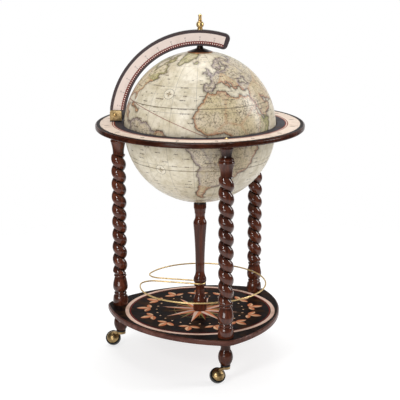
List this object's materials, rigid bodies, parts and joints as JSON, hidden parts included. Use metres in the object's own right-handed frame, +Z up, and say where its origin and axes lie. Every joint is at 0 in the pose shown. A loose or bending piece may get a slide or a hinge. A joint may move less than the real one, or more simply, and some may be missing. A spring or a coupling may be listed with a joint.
{
  "type": "floor globe bar cabinet",
  "caption": "Floor-standing globe drinks cabinet: the upper half of the globe hinges back on a meridian arc over a bottle tray, on twist legs with a shelf and casters.",
  "frame": {"origin": "on the floor, under the globe's axis", "axes": "+Z up along the globe's axis; the first leg is on -X and the lid's hinge stands 8.5 degrees from it"},
  "size_m": [0.551, 0.551, 0.9275],
  "materials": {
    "wood": "dark mahogany lacquer, glossy",
    "board_print": "printed, satin",
    "scale_print": "printed, satin",
    "globe_shell": "printed map, satin",
    "dark_wood": "black stain",
    "brass": "polished",
    "old_brass": "antique",
    "steel": "plain",
    "black_metal": "gloss black",
    "black_plastic": "gloss",
    "black_rubber": "smooth"
  },
  "bodies": {
    "stand": {"shelf_board": "wood", "shelf_sheet": "board_print", "leg_1": "wood", "leg_2": "wood", "leg_3": "wood", "foot_1": "wood", "foot_2": "wood", "foot_3": "wood", "leg_studs": "steel", "column": "wood", "column_screw": "steel", "column_washer": "steel", "bowl_seat": "dark_wood", "bottle_rail": "brass", "horizon_ring": "wood", "horizon_sheet": "scale_print", "ring_screws": "brass", "lower_bowl": "globe_shell", "bowl_hoop": "wood", "bar_tray": "wood", "bottle_floor": "wood", "bowl_washer": "steel", "bowl_screw": "steel", "hinge_pad": "black_plastic", "hinge_bracket": "brass", "bracket_screws": "steel", "hinge_pin": "brass", "caster_sockets": "black_metal"},
    "lid": {"meridian_arc": "wood", "meridian_sheet_front": "scale_print", "meridian_sheet_back": "scale_print", "pole_pin": "brass", "pole_nut": "steel", "pole_finial": "brass"},
    "globe_top": {"upper_shell": "globe_shell", "lid_hoop": "wood", "pole_cap": "old_brass", "pole_washer": "steel"},
    "caster_1_swivel": {"caster_1_hood": "old_brass", "caster_1_axle": "steel"},
    "caster_1_wheel": {"caster_1_hub": "black_plastic", "caster_1_tyre": "black_rubber"},
    "caster_2_swivel": {"caster_2_hood": "old_brass", "caster_2_axle": "steel"},
    "caster_2_wheel": {"caster_2_hub": "black_plastic", "caster_2_tyre": "black_rubber"},
    "caster_3_swivel": {"caster_3_hood": "old_brass", "caster_3_axle": "steel"},
    "caster_3_wheel": {"caster_3_hub": "black_plastic", "caster_3_tyre": "black_rubber"}
  },
  "joints": [
    {"name": "lid_hinge", "type": "hinge", "parent": "stand", "child": "lid", "pos_m": [-0.22193, -0.03317, 0.6601], "axis": [0.1478, -0.989, 0], "range_deg": [0, 90]},
    {"name": "globe_spin", "type": "hinge", "parent": "lid", "child": "globe_top", "pos_m": [0, 0, 0.827], "axis": [0, 0, 1], "continuous": true},
    {"name": "caster_1_turn", "type": "hinge", "parent": "stand", "child": "caster_1_swivel", "pos_m": [-0.225, 0, 0.046], "axis": [0, 0, 1], "continuous": true},
    {"name": "caster_1_roll", "type": "hinge", "parent": "caster_1_swivel", "child": "caster_1_wheel", "pos_m": [-0.24799, 0.0008, 0.021], "axis": [-0.0267, -0.7656, 0.6428], "continuous": true},
    {"name": "caster_2_turn", "type": "hinge", "parent": "stand", "child": "caster_2_swivel", "pos_m": [0.1125, -0.19486, 0.046], "axis": [0, 0, 1], "continuous": true},
    {"name": "caster_2_roll", "type": "hinge", "parent": "caster_2_swivel", "child": "caster_2_wheel", "pos_m": [0.09463, -0.20933, 0.021], "axis": [0.4821, -0.5953, 0.6428], "continuous": true},
    {"name": "caster_3_turn", "type": "hinge", "parent": "stand", "child": "caster_3_swivel", "pos_m": [0.1125, 0.19486, 0.046], "axis": [0, 0, 1], "continuous": true},
    {"name": "caster_3_roll", "type": "hinge", "parent": "caster_3_swivel", "child": "caster_3_wheel", "pos_m": [0.08959, 0.19285, 0.021], "axis": [0.0668, -0.7631, 0.6428], "continuous": true}
  ]
}
